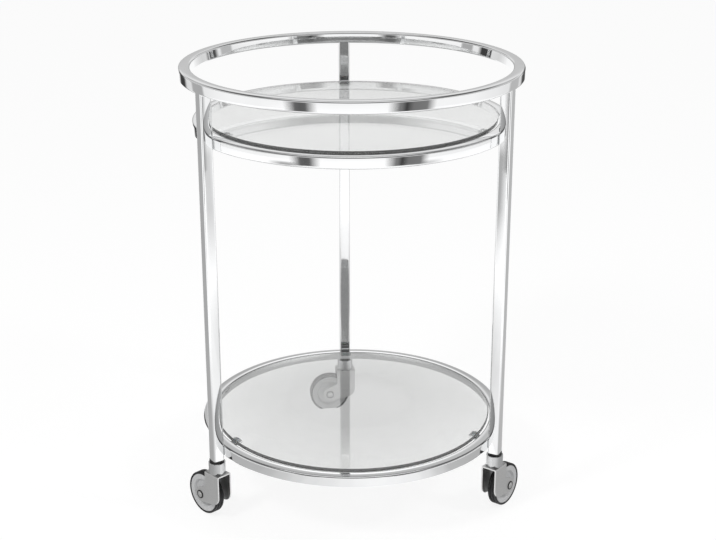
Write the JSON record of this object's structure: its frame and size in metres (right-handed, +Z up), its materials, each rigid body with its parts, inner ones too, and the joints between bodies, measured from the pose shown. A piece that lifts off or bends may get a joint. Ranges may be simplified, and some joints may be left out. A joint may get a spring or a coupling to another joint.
{
  "type": "bar cart",
  "caption": "Round bar cart with a chromed square-tube frame, a ring rail that is also the handle, clear glass shelves and swivel casters.",
  "frame": {"origin": "on the floor under the centre of the round frame", "axes": "+Z up; the rear leg stands on +Y, so the front between the other two legs faces -Y"},
  "size_m": [0.5273, 0.5256, 0.697],
  "materials": {
    "chrome_tube": "polished chrome plate",
    "clear_glass": "clear tempered glass with a polished edge",
    "chrome_tab": "polished chrome plate",
    "clear_pad": "clear soft bumper",
    "black_insert": "moulded black",
    "steel_pin": "bright steel",
    "chrome_collar": "polished chrome plate",
    "satin_fork": "satin zinc plate",
    "grey_wheel": "satin grey moulding",
    "black_tyre": "matt black rubber",
    "nylon_bush": "natural nylon",
    "black_washer": "moulded black"
  },
  "bodies": {
    "frame": {"top_rail": "chrome_tube", "middle_ring": "chrome_tube", "lower_ring": "chrome_tube", "left_leg": "chrome_tube", "right_leg": "chrome_tube", "rear_leg": "chrome_tube", "middle_glass": "clear_glass", "lower_glass": "clear_glass", "middle_glass_tabs": "chrome_tab", "lower_glass_tabs": "chrome_tab", "middle_glass_pads": "clear_pad", "lower_glass_pads": "clear_pad", "left_leg_insert": "black_insert", "left_caster_stem": "steel_pin", "left_stem_washer": "black_washer", "right_leg_insert": "black_insert", "right_caster_stem": "steel_pin", "right_stem_washer": "black_washer", "rear_leg_insert": "black_insert", "rear_caster_stem": "steel_pin", "rear_stem_washer": "black_washer"},
    "left_swivel": {"left_caster_collar": "chrome_collar", "left_swivel_bush": "nylon_bush", "left_caster_fork": "satin_fork", "left_wheel_axle": "steel_pin", "left_axle_cap": "steel_pin", "left_axle_washers": "black_washer", "left_thrust_washers": "nylon_bush"},
    "left_roller": {"left_wheel": "grey_wheel", "left_tyre": "black_tyre", "left_hub_bush": "nylon_bush"},
    "right_swivel": {"right_caster_collar": "chrome_collar", "right_swivel_bush": "nylon_bush", "right_caster_fork": "satin_fork", "right_wheel_axle": "steel_pin", "right_axle_cap": "steel_pin", "right_axle_washers": "black_washer", "right_thrust_washers": "nylon_bush"},
    "right_roller": {"right_wheel": "grey_wheel", "right_tyre": "black_tyre", "right_hub_bush": "nylon_bush"},
    "rear_swivel": {"rear_caster_collar": "chrome_collar", "rear_swivel_bush": "nylon_bush", "rear_caster_fork": "satin_fork", "rear_wheel_axle": "steel_pin", "rear_axle_cap": "steel_pin", "rear_axle_washers": "black_washer", "rear_thrust_washers": "nylon_bush"},
    "rear_roller": {"rear_wheel": "grey_wheel", "rear_tyre": "black_tyre", "rear_hub_bush": "nylon_bush"}
  },
  "joints": [
    {"name": "left_caster_turn", "type": "hinge", "parent": "frame", "child": "left_swivel", "pos_m": [-0.21737, -0.1255, 0.09], "axis": [0, 0, 1], "continuous": true},
    {"name": "left_wheel_spin", "type": "hinge", "parent": "left_swivel", "child": "left_roller", "pos_m": [-0.2364, -0.10361, 0.0345], "axis": [-0.7547, -0.6561, 0], "continuous": true},
    {"name": "right_caster_turn", "type": "hinge", "parent": "frame", "child": "right_swivel", "pos_m": [0.21737, -0.1255, 0.09], "axis": [0, 0, 1], "continuous": true},
    {"name": "right_wheel_spin", "type": "hinge", "parent": "right_swivel", "child": "right_roller", "pos_m": [0.23601, -0.10328, 0.0345], "axis": [-0.766, 0.6428, 0], "continuous": true},
    {"name": "rear_caster_turn", "type": "hinge", "parent": "frame", "child": "rear_swivel", "pos_m": [0, 0.251, 0.09], "axis": [0, 0, 1], "continuous": true},
    {"name": "rear_wheel_spin", "type": "hinge", "parent": "rear_swivel", "child": "rear_roller", "pos_m": [-0.02889, 0.24847, 0.0345], "axis": [0.0872, -0.9962, 0], "continuous": true}
  ]
}
